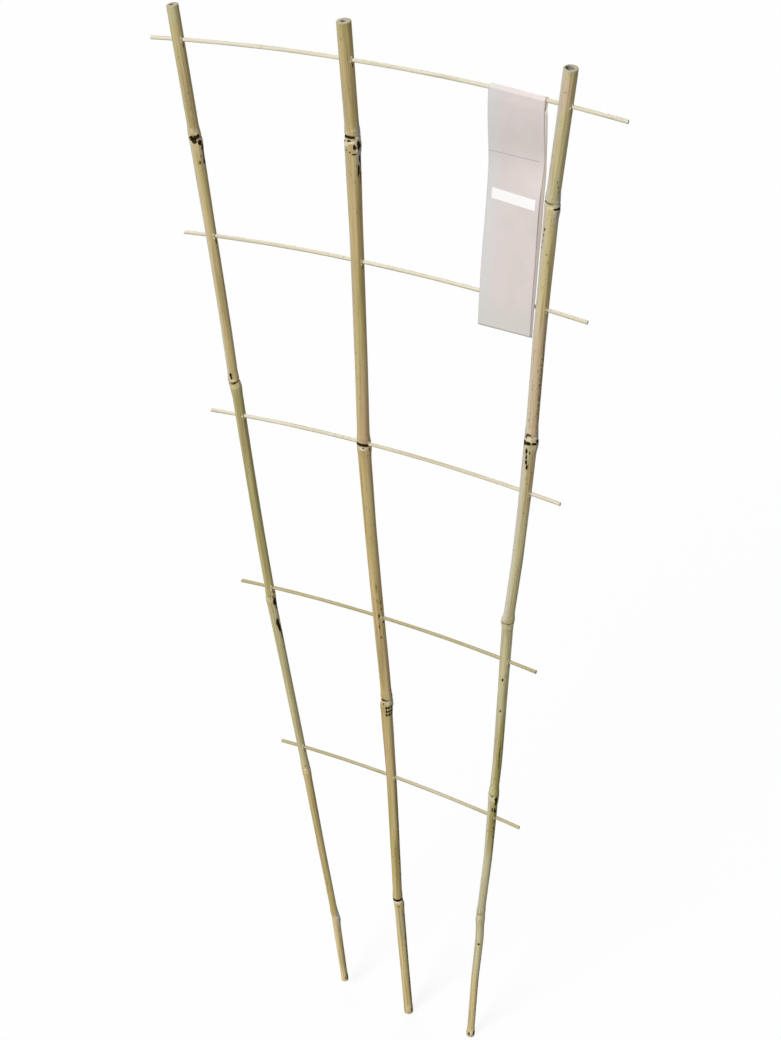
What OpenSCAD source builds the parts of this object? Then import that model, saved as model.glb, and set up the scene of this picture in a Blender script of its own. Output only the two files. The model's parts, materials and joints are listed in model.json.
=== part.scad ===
// Espalier frame: a flat fan of three bamboo canes, threaded across by five thin bamboo rungs.
// A folded card tag hangs on the top rung. Millimetres, front towards -Y, up is +Z.
// The origin is the centre of the middle cane's foot, and every centreline lies in the plane y = 0.

/* [Canes] */
// Length of the middle and right canes
cane_length = 900; // [880:1:1000]
// How much shorter the left cane is cut
left_trim = 16; // [0:1:20]
// Outside diameter at the foot: left, middle, right
foot_d = [5.8, 7.4, 6]; // [5:0.1:9]
// Outside diameter at the top: left, middle, right
top_d = [8.3, 9.9, 9.3]; // [8:0.1:12]
// Diameter of the natural hollow at the foot: left, middle, right
foot_bore_d = [1.6, 2, 1.8]; // [1:0.1:2.5]
// Diameter of the natural hollow at the top: left, middle, right
top_bore_d = [3, 3.4, 4.6]; // [2:0.1:5]
// Straight round stretch at each foot, which is pushed into the soil
foot_straight = 50; // [20:1:60]
// Straight round stretch at each top, which takes a cap
top_straight = 15; // [5:1:20]

/* [Fan] */
// Distance from the middle foot to the left foot
left_spread = 63; // [50:1:80]
// Distance from the middle foot to the right foot
right_spread = 60; // [50:1:80]
// Outward lean of the left cane, degrees
left_lean = 4.5; // [3:0.1:6]
// Outward lean of the right cane, degrees
right_lean = 6.3; // [4:0.1:7]
// Height of the left foot above the middle foot
left_rise = 9; // [0:1:15]
// Height of the right foot above the middle foot
right_rise = 1; // [0:1:15]

/* [Knuckles] */
// How far a knuckle swells beyond the cane's radius
knuckle_swell = 0.5; // [0.2:0.05:1]
// Length of the swelling below a knuckle
swell_below = 6; // [3:0.5:10]
// Length of the swelling above a knuckle
swell_above = 4; // [3:0.5:8]
// Height of the sheath scar above the middle of a knuckle
scar_rise = 1.8; // [1:0.1:2.4]
// Height of the sheath scar's thin ring
scar_height = 0.5; // [0.3:0.1:0.8]
// How far the scar's ring stands out from the cane's radius
scar_proud = 0.45; // [0.4:0.05:0.8]
// Thickness of the natural wall that closes the hollow at a knuckle
knuckle_wall = 3; // [2:0.5:5]

/* [Rungs] */
// Diameter of a rung
rung_d = 3; // [2:0.1:3.4]
// Radial clearance of a rung in its drilled holes
rung_clearance = 0.06; // [0.04:0.01:0.1]
// Distance from the top of the middle cane to the top rung
top_drop = 26; // [22:1:60]
// Distance between neighbouring rungs on the middle cane, from the top down
rung_gaps = [146, 148, 155, 158]; // [120:1:160]
// Depth below the middle foot of the level about which the rungs bow
bow_depth = 800; // [500:10:1200]
// Lean of each rung where it crosses the middle cane, from the top down, degrees
rung_lean = [1.3, 0.9, 0.5, -0.1, -1.5]; // [-2:0.1:2]
// How far each rung's left end stands past the centre of the left cane, from the top down
left_overhang = [22.5, 23, 26, 25, 19]; // [12:0.5:60]
// How far each rung's right end stands past the centre of the right cane, from the top down
right_overhang = [43, 33, 28, 26, 24.5]; // [12:0.5:60]

/* [Tag] */
// Width of the tag along the rung
tag_w = 40; // [20:1:60]
// Length of the tag from its fold to its lower edge
tag_length = 172; // [80:1:200]
// Thickness of the card
card = 0.4; // [0.2:0.05:0.5]
// Room between the rung and the inside of the fold
fold_room = 0.75; // [0.6:0.05:1.2]
// How far the leaves draw in below the widest part of the fold
tuck = 0.1; // [0.05:0.05:0.2]
// Height over which the rear leaf closes against the front leaf, below the rung
leaf_close = 12; // [8:1:20]
// Lean of the tag from square to the rung, degrees
tag_skew = 1.3; // [0:0.1:1.5]
// Gap between the tag's lower corner and the right cane
tag_gap = 0.8; // [0.6:0.1:10]

/* [Hidden] */
$fn = 48;

// The canes, by number
LEFT = 0;
MIDDLE = 1;
RIGHT = 2;
// The knuckles of each cane: height along the cane above its foot, and bend to the right
KNUCKLES = [
    [[76, 1.5], [234, -1.5], [405, -6.5], [595, -4], [788, -0.5]],
    [[129, -3], [342, -2], [579, -6.5], [818, 1]],
    [[146, -1.5], [284, -1], [461, -4], [623, -0.5], [805, -3]]
];
// A cut runs past the surface by this much
past = 1;
// The ball inside a knuckle stands out from the swelling by this much and covers the bend
crest = 0.04;

foot_at = [[-left_spread, left_rise], [0, 0], [right_spread, right_rise]];
lean_of = [-left_lean, 0, right_lean];
length_of = [cane_length - left_trim, cane_length, cane_length];
rung_r = rung_d / 2;
// Steps of a full turn of a rung's bow, enough for a short arc of a large radius, and sides of its section
rung_steps = 720;
rung_sides = 32;

// Knuckles of a cane that lie between its straight foot and its straight top
function knuckles(cane) = [
    for (k = KNUCKLES[cane])
        if (k[0] - swell_below > foot_straight && k[0] + swell_above < length_of[cane] - top_straight) k
];
// Points along a cane where it may bend: the foot, the knuckles, the top
function stations(cane) = concat(0, [for (k = knuckles(cane)) k[0]], length_of[cane]);
// Sideways bend of a cane at a height along it
function bend_at(cane, s) = lookup(s, concat([[0, 0]], knuckles(cane), [[length_of[cane], 0]]));
// Centre of a cane at a height along it, as [x, z]
function cane_at(cane, s) =
    foot_at[cane]
    + s * [sin(lean_of[cane]), cos(lean_of[cane])]
    + bend_at(cane, s) * [cos(lean_of[cane]), -sin(lean_of[cane])];
// Plain radius of a cane at a height along it, knuckles left out
function cane_r(cane, s) = lookup(s, [
    [0, foot_d[cane] / 2],
    [foot_straight, foot_d[cane] / 2],
    [length_of[cane] - top_straight, top_d[cane] / 2],
    [length_of[cane], top_d[cane] / 2]
]);
// Radius of a cane's hollow at a height along it
function bore_r(cane, s) = lookup(s, [[0, foot_bore_d[cane] / 2], [length_of[cane], top_bore_d[cane] / 2]]);

// Height of a rung on the middle cane
function rung_height(k) = k == 0 ? cane_length - top_drop : rung_height(k - 1) - rung_gaps[k - 1];
// Radius of a rung's bow, and the centre of that bow as [x, z]
function bow_r(k) = bow_depth + rung_height(k);
function bow_centre(k) = cane_at(MIDDLE, rung_height(k)) + bow_r(k) * [sin(rung_lean[k]), -cos(rung_lean[k])];
// How far along the straight from a to b the circle about c is crossed, as a share of it
function crossing_share(a, b, c, r) =
    let (d = b - a, f = a - c, half = f * d, square = d * d)
    (-half + sqrt(half * half - square * (f * f - r * r))) / square;
// Height along a cane at which a rung crosses its centre
function crossing(cane, k) =
    let (s = stations(cane), c = bow_centre(k), r = bow_r(k))
    [
        for (i = [0 : len(s) - 2])
            let (a = cane_at(cane, s[i]), b = cane_at(cane, s[i + 1]))
            if (norm(a - c) <= r && norm(b - c) > r)
                s[i] + crossing_share(a, b, c, r) * (s[i + 1] - s[i])
    ][0];
// Angle about a rung's bow centre at which it crosses a cane, degrees from +X
function crossing_angle(cane, k) =
    let (d = cane_at(cane, crossing(cane, k)) - bow_centre(k))
    atan2(d[1], d[0]);
// Angle that a length along a rung spans about its bow centre
function arc_angle(k, length) = length / bow_r(k) * 180 / PI;
function rung_point(k, angle) = bow_centre(k) + bow_r(k) * [cos(angle), sin(angle)];

// A place in the plane of the frame, with the local Z axis turned by an angle from up towards +X
module at(point, angle) {
    translate([point[0], 0, point[1]])
        rotate([0, angle, 0])
            children();
}

// One length of cane from a knuckle or foot up to the next, with its swellings and its sheath scar
module internode(cane, low, high) {
    a = cane_at(cane, low);
    b = cane_at(cane, high);
    length = norm(b - a);
    low_r = cane_r(cane, low);
    high_r = cane_r(cane, high);
    foot = [[low_r, 0], [low_r, foot_straight]];
    scar_r = low_r + scar_proud;
    slope = knuckle_swell / swell_above;
    lower_knuckle = [
        [low_r + knuckle_swell, 0],
        [low_r + knuckle_swell - slope * scar_rise, scar_rise],
        [scar_r, scar_rise],
        [scar_r, scar_rise + scar_height],
        [low_r + knuckle_swell - slope * (scar_rise + scar_height), scar_rise + scar_height],
        [low_r, swell_above]
    ];
    upper_knuckle = [[high_r, length - swell_below], [high_r + knuckle_swell, length]];
    top = [[high_r, length - top_straight], [high_r, length]];
    outline = concat(
        [[0, 0]],
        low == 0 ? foot : lower_knuckle,
        high == length_of[cane] ? top : upper_knuckle,
        [[0, length]]
    );
    at(a, atan2(b[0] - a[0], b[1] - a[1]))
        rotate_extrude()
            polygon(outline);
}

// The hollow of one length of cane, open where the cane is cut and closed at its knuckles
module hollow(cane, low, high) {
    a = cane_at(cane, low);
    b = cane_at(cane, high);
    start = low == 0 ? -past : knuckle_wall / 2;
    end = norm(b - a) + (high == length_of[cane] ? past : -knuckle_wall / 2);
    at(a, atan2(b[0] - a[0], b[1] - a[1]))
        translate([0, 0, start])
            cylinder(h = end - start, r = bore_r(cane, (low + high) / 2));
}

// The hole drilled through a cane for a rung, along the rung
module rung_hole(cane, k) {
    s = crossing(cane, k);
    reach = cane_r(cane, s) + knuckle_swell + past;
    at(cane_at(cane, s), 180 - crossing_angle(cane, k))
        cylinder(h = 2 * reach, r = rung_r + rung_clearance, center = true);
}

module cane(number) {
    s = stations(number);
    last = len(s) - 1;
    color([0.72, 0.67, 0.46])
        difference() {
            union() {
                for (i = [0 : last - 1]) internode(number, s[i], s[i + 1]);
                for (i = [1 : last - 1])
                    at(cane_at(number, s[i]), 0)
                        sphere(r = cane_r(number, s[i]) + knuckle_swell + crest);
            }
            for (i = [0 : last - 1]) hollow(number, s[i], s[i + 1]);
            for (k = [0 : len(rung_lean) - 1]) rung_hole(number, k);
        }
}

module rung(k) {
    left_end = crossing_angle(LEFT, k) + arc_angle(k, left_overhang[k]);
    right_end = crossing_angle(RIGHT, k) - arc_angle(k, right_overhang[k]);
    color([0.84, 0.79, 0.63])
        at(bow_centre(k), 0)
            rotate([90, 0, 0])
                rotate([0, 0, right_end])
                    rotate_extrude(angle = left_end - right_end, $fn = rung_steps)
                        translate([bow_r(k), 0])
                            circle(r = rung_r, $fn = rung_sides);
}

// How far along the top rung the tag's middle hangs from the right cane. Its lower right corner, which
// swings nearer to the cane with every step along the bowed rung, clears the cane by tag_gap.
function tag_room(below) =
    let (
        high_s = crossing(RIGHT, 0),
        high = cane_at(RIGHT, high_s),
        low = cane_at(RIGHT, high_s - below),
        cane_lean = atan2(high[0] - low[0], high[1] - low[1]),
        tag_lean = 90 - crossing_angle(RIGHT, 0) + tag_skew,
        clear = cane_r(RIGHT, high_s - below) + tag_gap
    )
    (clear + tag_w / 2 + below * sin(cane_lean - tag_lean)) / (1 - below / bow_r(0));

// A round fold of a radius, with an outline that runs on below it, carried along the rung
module fold_and_leaves(radius, width, outline) {
    cylinder(h = width, r = radius, center = true);
    linear_extrude(width, center = true)
        polygon(outline);
}

// The tag is one strip of card, folded over the top rung in front of the rungs below.
// The rear leaf slopes forwards under the rung to the front leaf, and follows it down.
module hang_tag() {
    fold_r = rung_r + fold_room;
    outer_r = fold_r + card;
    below = tag_length - outer_r;
    // The leaves draw in a little from the widest part of the fold
    face = outer_r - tuck;
    inside = fold_r - tuck;
    meet = -fold_r - leaf_close;
    outside = [
        [-face, 0],
        [face, 0],
        [face, -fold_r],
        [card - inside, meet],
        [card - inside, -below],
        [-face, -below]
    ];
    room = [
        [-inside, 0],
        [inside, 0],
        [inside, -fold_r],
        [-inside, meet]
    ];
    angle = crossing_angle(RIGHT, 0) + arc_angle(0, tag_room(below));
    color([0.84, 0.8, 0.79])
        at(rung_point(0, angle), 90 - angle + tag_skew)
            rotate([90, 0, 90])
                difference() {
                    fold_and_leaves(outer_r, tag_w, outside);
                    fold_and_leaves(fold_r, tag_w + 2 * past, room);
                }
}

cane(LEFT);  // cane_left
cane(MIDDLE);  // cane_middle
cane(RIGHT);  // cane_right
rung(0);  // rung_1
rung(1);  // rung_2
rung(2);  // rung_3
rung(3);  // rung_4
rung(4);  // rung_5
hang_tag();
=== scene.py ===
"""Looks of the espalier frame: bamboo canes, split bamboo rungs and a folded card tag."""
import json
import math
from collections import namedtuple

import bpy
import numpy as np
from mathutils import Matrix, Vector


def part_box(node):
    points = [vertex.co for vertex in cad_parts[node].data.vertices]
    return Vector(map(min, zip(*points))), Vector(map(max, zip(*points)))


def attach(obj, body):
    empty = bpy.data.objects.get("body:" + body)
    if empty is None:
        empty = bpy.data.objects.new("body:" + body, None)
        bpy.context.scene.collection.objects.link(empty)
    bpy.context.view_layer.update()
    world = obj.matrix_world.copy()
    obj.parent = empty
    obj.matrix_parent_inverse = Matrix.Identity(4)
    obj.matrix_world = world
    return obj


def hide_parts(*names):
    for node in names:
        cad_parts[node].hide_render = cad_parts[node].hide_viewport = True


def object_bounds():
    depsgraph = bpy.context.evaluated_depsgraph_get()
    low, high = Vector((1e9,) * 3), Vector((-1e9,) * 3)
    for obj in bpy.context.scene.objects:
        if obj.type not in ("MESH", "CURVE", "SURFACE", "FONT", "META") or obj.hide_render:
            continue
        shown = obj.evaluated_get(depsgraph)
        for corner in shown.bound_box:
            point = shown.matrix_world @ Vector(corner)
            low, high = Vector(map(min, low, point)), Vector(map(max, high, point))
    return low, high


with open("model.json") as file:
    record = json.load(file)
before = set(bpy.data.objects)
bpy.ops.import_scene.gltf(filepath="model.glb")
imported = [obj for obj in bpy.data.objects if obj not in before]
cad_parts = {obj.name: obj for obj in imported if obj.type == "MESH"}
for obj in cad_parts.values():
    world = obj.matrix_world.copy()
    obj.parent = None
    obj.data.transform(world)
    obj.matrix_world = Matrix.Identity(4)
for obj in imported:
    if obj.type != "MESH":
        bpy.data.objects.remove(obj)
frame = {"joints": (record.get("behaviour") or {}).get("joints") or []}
cad_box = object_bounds()

# Sizes are given in millimetres and angles in degrees, unless said, and meshes are made in metres
MM = 0.001

# The photograph's height and lens in pixels, the sensor's long side, and the camera's place about its target
PHOTO_HEIGHT = 1040
FOCAL_PIXELS = 2270.4
SENSOR = 36
VIEW_AZIMUTH = math.radians(31.65)
VIEW_ELEVATION = math.radians(34.781)
VIEW_ROLL = math.radians(-3.521)
VIEW_DISTANCE = 1649.24
VIEW_TARGET = (12.09, 0, 517.98)

# Angle about a cane, from its right side towards its back, of the line that faces the photograph's viewer
FACING = -58

# A cane: its name, foot as (x, z), lean, length, diameters, flare of its foot, hollows, their painted shade,
# an offset that gives it its own grain, its internodes' tones from the foot up, their stains, its knuckles
Cane = namedtuple("Cane", [
    "name", "foot", "lean", "length", "foot_d", "top_d", "flare", "foot_bore", "top_bore", "gloom",
    "grain_seed", "tones", "stains", "knuckles",
])
# A knuckle: height along the cane, bend to the right, sideways step of the cane below it, swelling, height of
# the sheath scar above it, how dark the scar is, the angle and bulge of its bud, and the marks round it
Knuckle = namedtuple("Knuckle", "height bend step swell scar dark bud bulge marks")
# The colour of one internode: green at -1, straw at 0 and pink at 1, how pale it is, and how much grey wax
# bloom, with painted sheen, it has on its left side
Tone = namedtuple("Tone", "warm pale bloom")
# A mark: height above its knuckle, angle from the facing line, width, length, darkness. Most dark marks are
# soot, and the long ones down a cane's right side are painted shade. A mark with a darkness under 0 is a pale
# patch.
Mark = namedtuple("Mark", "rise angle width length dark")
# A stain: height along the cane, angle from the facing line, width, length, and what it adds to the tone
Stain = namedtuple("Stain", "height angle width length warm pale")

CANES = [
    Cane("left", (-63, 9), -4.5, 884, 5.8, 8.3, 0.2, 1.6, 3.2, 1, 0, [
        Tone(0.35, 0.95, 0), Tone(-0.1, 0.05, 0.1), Tone(-0.6, 0.5, 0.2),
        Tone(-0.8, 0.2, 0.2), Tone(0.15, 0.45, 0.75), Tone(-0.1, 0.3, 0.4),
    ], [
        Stain(881, -20, 12, 14, -0.9, 0.35),
    ], [
        Knuckle(76, 1.6, 0.5, 0.4, 2, 0.1, 60, 0.9, [
            Mark(1.5, 30, 0.9, 0.9, 0.6), Mark(-16, 40, 1, 1.8, 0.6), Mark(-4, 70, 1.5, 2, 0.5),
            Mark(-52, 52, 1.2, 20, 0.45), Mark(-71, 56, 1.8, 6, 0.9), Mark(-72, 20, 1.2, 3, 0.6),
        ]),
        Knuckle(234, -1.5, 0.2, 0.45, 3, 0.3, 20, 0.3, [
            Mark(0, -45, 0.8, 1.1, 0.8), Mark(6, 8, 2, 2.4, 0.4), Mark(3, -8, 2.2, 2, -0.7),
            Mark(-45, 62, 1.4, 44, 0.45),
        ]),
        Knuckle(405, -6.1, -0.8, 0.45, 2, 0.3, 50, 0.4, [
            Mark(1, 30, 1.2, 3, 0.6), Mark(-3.5, 46, 2.8, 7, 1), Mark(-8, 62, 2, 6, 0.95),
            Mark(-15, 78, 0.9, 9, 0.6), Mark(-24, 30, 2.4, 8, 1), Mark(-29, 42, 2.2, 8, 1),
            Mark(-35, 58, 1.4, 7, 0.9), Mark(-41, 70, 0.9, 7, 0.8), Mark(-47, 45, 1.4, 1, 0.8),
            Mark(-2, 8, 1.6, 5, -0.6),
        ]),
        Knuckle(595, -4, 1.5, 0.5, 2.5, 0.5, -65, 0.5, [
            Mark(8.5, -22, 1.9, 3.6, 1), Mark(6.5, -16, 1.3, 2.4, 0.9), Mark(5.5, 58, 0.9, 1.5, 0.8),
            Mark(2.5, -14, 3, 0.9, 0.8), Mark(2, 28, 2.5, 0.8, 0.7), Mark(4.5, -5, 3, 1.8, -0.8),
        ]),
        Knuckle(788, -0.5, 0.3, 0.55, 2, 0.6, 50, 0.8, [
            Mark(1.8, -24, 3, 4, 1), Mark(2.4, 8, 3, 3.2, 0.9), Mark(3, 34, 2.2, 3, 0.9),
            Mark(-0.5, -8, 3, 3, 0.9), Mark(-1.5, 34, 2.2, 4, 1), Mark(-5, 52, 1.2, 4.5, 1),
            Mark(-9, 60, 1.1, 5, 1), Mark(-12.5, 62, 1.4, 4, 1), Mark(-16, 62, 2, 4.5, 1),
            Mark(-12, 28, 0.7, 4, 0.6), Mark(-16, 8, 1.5, 3, 0.6), Mark(-28, -60, 0.7, 2, 0.8),
            Mark(7.5, -14, 2.6, 4, -0.55), Mark(5, 18, 1.8, 2.2, -0.9), Mark(6.5, 34, 2.4, 5, -0.5),
            Mark(-6, -12, 4, 6, -0.45), Mark(-11, 25, 3, 8, -0.5), Mark(1, 14, 1.2, 1.6, -0.9),
        ]),
    ]),
    Cane("middle", (0, 0), 0, 900, 7.4, 9.9, 0.2, 2.0, 3.4, 1, 37, [
        Tone(0.2, 0.52, 0), Tone(0.05, 0, 0.05), Tone(0.2, 0.05, 0.1),
        Tone(0.3, 0.05, 0.5), Tone(0.05, 0, 0.55),
    ], [
        Stain(108, 10, 6, 36, -0.6, -0.1),
    ], [
        Knuckle(129, -3, 1.2, 0.55, 4.5, 1, -160, 0.4, [
            Mark(-2, 2, 2.5, 1.7, 0.45), Mark(2.2, -25, 8, 2, -1), Mark(2.2, 45, 8, 2, -1),
            # The two long marks at angles 68 and 70 are painted shade down the cane's right side
            Mark(-65, 68, 3.2, 130, 0.6), Mark(-124, 34, 1, 3.5, 0.9), Mark(-122, 5, 4, 7, -0.6),
            Mark(75, 70, 3.2, 140, 0.56),
        ]),
        Knuckle(342, -1.6, -1.2, 0.6, 5, 0.5, 85, 0.9, [
            Mark(5, -40, 4, 1.2, 1), Mark(1.5, -35, 1.4, 1, 0.9), Mark(19.5, 48, 0.8, 1.6, 0.5),
            Mark(14, 60, 1.1, 1.9, 0.8), Mark(9, 62, 1.2, 2.4, 0.7), Mark(112, 2, 1.1, 8, 0.5),
            Mark(100, 2, 0.5, 3, 0.9), Mark(98, 35, 0.8, 4, 0.9), Mark(92, 35, 1.1, 1.5, 1),
            Mark(86, 5, 1.1, 4.5, 0.9), Mark(76, -2, 0.9, 5.5, 0.5), Mark(66, 8, 0.8, 1.7, 0.8),
            Mark(2, 15, 3.5, 4, -0.8),
            *(Mark(rise, angle, 1.4, 2.6, 0.9) for rise in (-2.5, -6, -9.5) for angle in (0, 24, 50)),
        ]),
        Knuckle(579, -6.5, 0, 0.55, 2, 1, 78, 0.7, [
            Mark(-1, -8, 1.3, 1.2, 0.7), Mark(-3, 78, 2, 2, 1), Mark(-8, 28, 1, 1, 0.6),
            Mark(-1.5, -10, 6, 3, -0.9),
        ]),
        Knuckle(818, 1, -0.6, 0.6, 4, 0.9, 54, 1.1, [
            Mark(0, -78, 2, 1.6, 1), Mark(1, -28, 3, 1.3, 1), Mark(-3.5, 12, 1.6, 4, 1),
            Mark(-8.5, 8, 2.6, 1.2, 0.9), Mark(-6, -52, 1, 1.2, 0.9), Mark(-7, -22, 1.2, 1.2, 0.9),
            Mark(-2.5, 42, 2.2, 7, 1), Mark(-12.5, 55, 1.8, 5, 1), Mark(-20, 40, 1.6, 7, 1),
            Mark(-16, 68, 1.2, 6, 0.8), Mark(-22, 34, 0.9, 8, 0.9), Mark(-26, 58, 1.2, 9, 0.8),
            Mark(-4, 26, 1.6, 6, -1), Mark(0, -10, 5, 2.4, -1), Mark(-1.5, -55, 4, 3, -0.9),
            Mark(3, 30, 2, 3, -0.8),
            *(Mark(8 + 0.03 * angle, angle, 0.9, 2.2, -0.75) for angle in (-66, -45, -28, -2, 17)),
        ]),
    ]),
    Cane("right", (60, 1), 6.36, 900, 6.2, 9.5, 0.5, 1.8, 6.0, 0.55, 71, [
        Tone(0.1, 0.74, 0.3), Tone(-0.45, 0.75, 0.6), Tone(-0.55, 0.6, 0.45),
        Tone(-0.3, 0.55, 1.0), Tone(0.8, 0.65, 0.8), Tone(-0.15, 0.55, 0.75),
    ], [
        Stain(884, -30, 8, 22, 1.4, 0.1), Stain(772, 0, 30, 84, -0.8, 0), Stain(594, 40, 6, 56, 0.8, 0),
        Stain(326, 36, 7, 72, -0.8, -1), Stain(256, 30, 8, 64, -1.2, -0.9), Stain(118, 0, 12, 64, -0.5, 0.1),
    ], [
        Knuckle(146, -2.1, 0, 0.6, 5, 0.4, -15, 0.4, [
            # The two long marks at angles 68 and 70 are painted shade down the cane's right side
            Mark(5, -15, 2, 1, 0.7), Mark(-29.5, -12, 1.7, 2.7, 0.9), Mark(-80, 68, 2.8, 120, 0.6),
            Mark(60, 70, 2.8, 110, 0.56), Mark(-141, 46, 2, 5, 1), Mark(-142, -30, 1.5, 4, 0.8),
            Mark(-140, 5, 2.5, 6, -0.9),
        ]),
        Knuckle(284, -1.5, 0, 0.7, 2, 0.4, 25, 0.7, [
            Mark(-1, 22, 1.8, 3.5, 1), Mark(1, 75, 1.2, 2.5, 0.9), Mark(1.5, -20, 1.5, 1.5, 0.5),
            Mark(-6.5, 28, 1, 2, 0.9), Mark(-12, -10, 1, 1.9, 0.8), Mark(-15, 28, 1.2, 2, 1),
            Mark(-37, -45, 1, 1.1, 0.8), Mark(-25, 10, 1.5, 9, 0.4), Mark(-2, -5, 2.6, 3, -0.7),
            Mark(44, 12, 0.8, 28, 0.9), Mark(40, 52, 3, 60, 0.3), Mark(44, 25, 0.9, 24, -0.5),
            Mark(-13.5, 20, 1.3, 5, 1), Mark(-13, -6, 0.9, 4, 1), Mark(-30, 45, 4, 44, 0.42),
            Mark(-4, 24, 1.4, 9, 0.9),
        ]),
        Knuckle(461, -4.2, -0.3, 0.5, -2, 0.4, -75, 0.6, [
            Mark(-56, -20, 1.5, 2.8, 0.9), Mark(-50, -28, 0.8, 1.5, -0.6), Mark(-87, -18, 1.3, 2.6, 0.85),
            Mark(-2, 30, 5, 0.8, 0.9), Mark(-9, 30, 4, 0.8, 0.4), Mark(-29, 62, 1.8, 7, -1),
        ]),
        Knuckle(623, -1.1, 0, 0.55, 4, 0.4, 60, 0.9, [
            Mark(5.5, -32, 3.4, 1.3, 1), Mark(3.5, -56, 1.2, 3, 1), Mark(-1.5, -32, 3.8, 2.8, 1),
            Mark(-2, -64, 2.4, 4, 1), Mark(-1.5, 22, 3, 2, 1), Mark(0, 60, 3, 2.6, 1),
            Mark(2, -22, 3.2, 3.4, -1), Mark(2.5, 30, 3, 3, -0.7), Mark(-8, -38, 1.5, 5, 1),
            Mark(-13, -34, 1.2, 4.6, 1), Mark(-17, -30, 1.4, 4.6, 1), Mark(-21.5, -20, 1.3, 4.6, 1),
            # The long mark at angle 54 is a brown stain with painted shade down the cane's right side
            Mark(46, 54, 4.4, 76, 0.42), Mark(-9, -8, 1, 2.6, 0.7), Mark(-26.5, 28, 0.9, 4, 0.4),
        ]),
        Knuckle(805, -3.2, 0.3, 0.55, 2.2, 0.55, 40, 0.9, [
            Mark(14, 22, 1, 0.8, 0.9), Mark(10.5, 35, 1, 0.8, 0.9), Mark(17.5, 10, 0.5, 3.5, 0.6),
            Mark(-1.2, 38, 5, 1.8, 1), Mark(-17, -52, 0.9, 2.4, 0.9), Mark(-21.5, -58, 0.9, 2.2, 0.9),
            Mark(-26, -62, 0.6, 3, 0.8), Mark(-31, -68, 0.8, 1.5, 0.7), Mark(92, -5, 1, 1.6, 0.4),
            Mark(80, -30, 2.4, 1, 0.4), Mark(-0.5, -10, 7, 1.6, -0.9),
        ]),
    ]),
]

# Where a cane sways between its knuckles: heights along it, and its bend to the right there
SWAYS = {
    "left": {150: -0.2, 464: -5.8, 640: -2.75, 700: -1.7},
    "middle": {187: -2.45, 263: -1.5, 376: -2.2, 430: -3.75, 503: -5.6, 640: -4.1, 735: -1.1},
    "right": {70: -1.2, 122: -0.8, 215: -0.8, 320: -1.2, 516: -2, 570: -1.2, 701: -2.6},
}

# The rungs, from the top down: how pale each is, the angle of its darker skin side, which also stands for the
# painted shade under it, and how its two ends are cut, as a slant and a turn. Angles go round from the back,
# over the top.
RungLook = namedtuple("RungLook", "pale skin left_slant left_turn right_slant right_turn")
RUNG_LOOKS = [
    RungLook(0.85, 290, 0.2, 90, 0.15, 0),
    RungLook(0.7, 240, 1.2, 60, 0.15, 0),
    RungLook(0.4, 230, 0.3, 120, 0.2, 40),
    RungLook(-0.8, 225, 0.25, 30, 0.2, 90),
    RungLook(-0.4, 215, 0.3, 80, 0.2, 20),
]
RUNG_R = 1.5

# Lamps, with their azimuth and elevation, how soft they are and how strong: a key at the viewer's left and a
# weaker fill behind
Lamp = namedtuple("Lamp", "name azimuth elevation softness strength")
LAMPS = [Lamp("key_lamp", -8, 40, 24, 2.75), Lamp("fill_lamp", 218, 30, 60, 1.3)]
# The light from all round
AMBIENT = 0.22

# The floor: half its side and how far it lies under the feet, in metres, how much light it gives back to the
# object, how pale it is to the camera, and how much of that is plain white
FLOOR_HALF = 8.0
FLOOR_GAP = 0.0002
FLOOR_BOUNCE = 0.35
FLOOR_SEEN = 0.92
FLOOR_GLOW = 0.86

# A rise: the place of its middle, its width and its height, under 0 for a dip
Bump = namedtuple("Bump", "place width height")


def smooth(low, high, value):
    """Rises from 0 at low to 1 at high, with level ends: t squared times (3 - 2t)."""
    t = np.clip((value - low) / (high - low), 0, 1)
    return t * t * (3 - 2 * t)


def bell(value, width):
    """A bump of height 1 at 0, falling as exp(-(value / width) squared)."""
    return np.exp(-np.square(value / width))


def rise(bump, value):
    """Height of a rise at a value: a bell about its place."""
    return bump.height * bell(value - bump.place, bump.width)


def turn_between(angle, other):
    """Difference of two angles in degrees, between -180 and 180."""
    return (angle - other + 180) % 360 - 180


def add_object(name, data):
    """A new object in the scene, made of a mesh, a light or a camera."""
    made = bpy.data.objects.new(name, data)
    bpy.context.scene.collection.objects.link(made)
    return made


def closed_skin(name, rings, masks, grain):
    """A closed mesh over stacked rings of points, with a point that closes each end.

    rings is (ring, side, xyz) in millimetres. Each of masks is a (ring, side) value, and grain is a
    (ring, side, xyz) place in millimetres for patterns that follow the surface.
    """
    count, sides = rings.shape[:2]

    def with_ends(values):
        flat = values.reshape(count * sides, -1)
        ends = [values[0].reshape(sides, -1).mean(axis=0), values[-1].reshape(sides, -1).mean(axis=0)]
        return np.concatenate([flat, np.stack(ends)])

    index = np.arange(count * sides).reshape(count, sides)
    across = np.roll(index, -1, axis=1)
    first = np.full(sides, count * sides)
    last = first + 1
    walls = np.stack([index[:-1], across[:-1], across[1:], index[1:]], axis=-1).reshape(-1, 4)
    low_end = np.stack([across[0], index[0], first], axis=-1)
    high_end = np.stack([index[-1], across[-1], last], axis=-1)
    faces = walls.tolist() + low_end.tolist() + high_end.tolist()
    mesh = bpy.data.meshes.new(name)
    mesh.from_pydata((with_ends(rings) * MM).tolist(), [], faces)
    mesh.polygons.foreach_set("use_smooth", np.ones(len(mesh.polygons), dtype=bool))
    for mask, values in masks.items():
        layer = mesh.attributes.new(mask, "FLOAT", "POINT")
        layer.data.foreach_set("value", with_ends(values).ravel().astype(np.float32))
    layer = mesh.attributes.new("grain", "FLOAT_VECTOR", "POINT")
    layer.data.foreach_set("vector", with_ends(grain).ravel().astype(np.float32))
    mesh.update()
    return add_object(name, mesh)


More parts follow.
